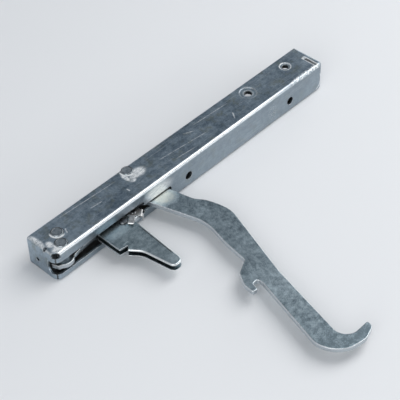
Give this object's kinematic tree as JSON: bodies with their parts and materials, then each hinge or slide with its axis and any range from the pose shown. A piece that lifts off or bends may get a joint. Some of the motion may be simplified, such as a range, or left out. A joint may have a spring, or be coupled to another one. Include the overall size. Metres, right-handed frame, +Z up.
{
  "type": "oven door hinge",
  "caption": "Folded steel channel hinge with a swan-neck hook arm, a folding lock clip and a spring that draws the arm in.",
  "frame": {"origin": "centre of the channel's lower flank, on its outer face", "axes": "+X along the channel from the pivot end to the spring's anchored end, -Y out of the slotted web on the arm's side, +Z up from the lower flank"},
  "size_m": [0.2, 0.1552, 0.0185],
  "materials": {
    "zinc_sheet": "satin zinc-plated sheet",
    "arm_steel": "satin stamped plate",
    "clip_steel": "satin folded sheet",
    "rivet_steel": "bright turned steel",
    "link_steel": "satin strip",
    "spring_wire": "oiled spring wire",
    "leaf_steel": "polished spring strip"
  },
  "bodies": {
    "channel": {"housing": "zinc_sheet", "pivot_pin": "rivet_steel", "open_stop_pin": "rivet_steel", "close_stop_pin": "rivet_steel", "spacer_lower": "rivet_steel", "spacer_upper": "rivet_steel", "stop_sleeve": "rivet_steel", "anchor_plate": "link_steel", "return_spring": "spring_wire"},
    "swing_arm": {"arm": "arm_steel", "arm_bush": "rivet_steel", "crank_pin": "rivet_steel", "crank_collar": "rivet_steel", "clip_rivet": "rivet_steel", "retaining_leaf": "leaf_steel", "leaf_rivet": "rivet_steel"},
    "link": {"link_strap": "link_steel", "eye_pin": "rivet_steel"},
    "shackle": {"spring_shackle": "link_steel"},
    "clip": {"locking_clip": "clip_steel"}
  },
  "joints": [
    {"name": "arm_swing", "type": "hinge", "parent": "channel", "child": "swing_arm", "pos_m": [-0.0913, -0.0055, 0.0075], "axis": [0, 0, 1], "range_deg": [-90, 0], "stiffness_Nm_per_rad": 0.6, "springref_deg": 17.19},
    {"name": "link_turn", "type": "hinge", "parent": "swing_arm", "child": "link", "pos_m": [-0.0813, -0.00567, 0.011], "axis": [0, 0, 1], "range_deg": [0, 98.9]},
    {"name": "shackle_slide", "type": "slide", "parent": "channel", "child": "shackle", "axis": [1, 0, 0], "range_m": [-0.0128, 0], "deforming": ["return_spring"]},
    {"name": "clip_swing", "type": "hinge", "parent": "swing_arm", "child": "clip", "pos_m": [-0.056, -0.0112, 0.0075], "axis": [0, 0, 1], "range_deg": [0, 30]}
  ],
  "couplings": [
    {"joint": "link_turn", "follows": "arm_swing", "ratio": -1.0979},
    {"joint": "shackle_slide", "follows": "arm_swing", "m_per_rad": 0.008148}
  ]
}
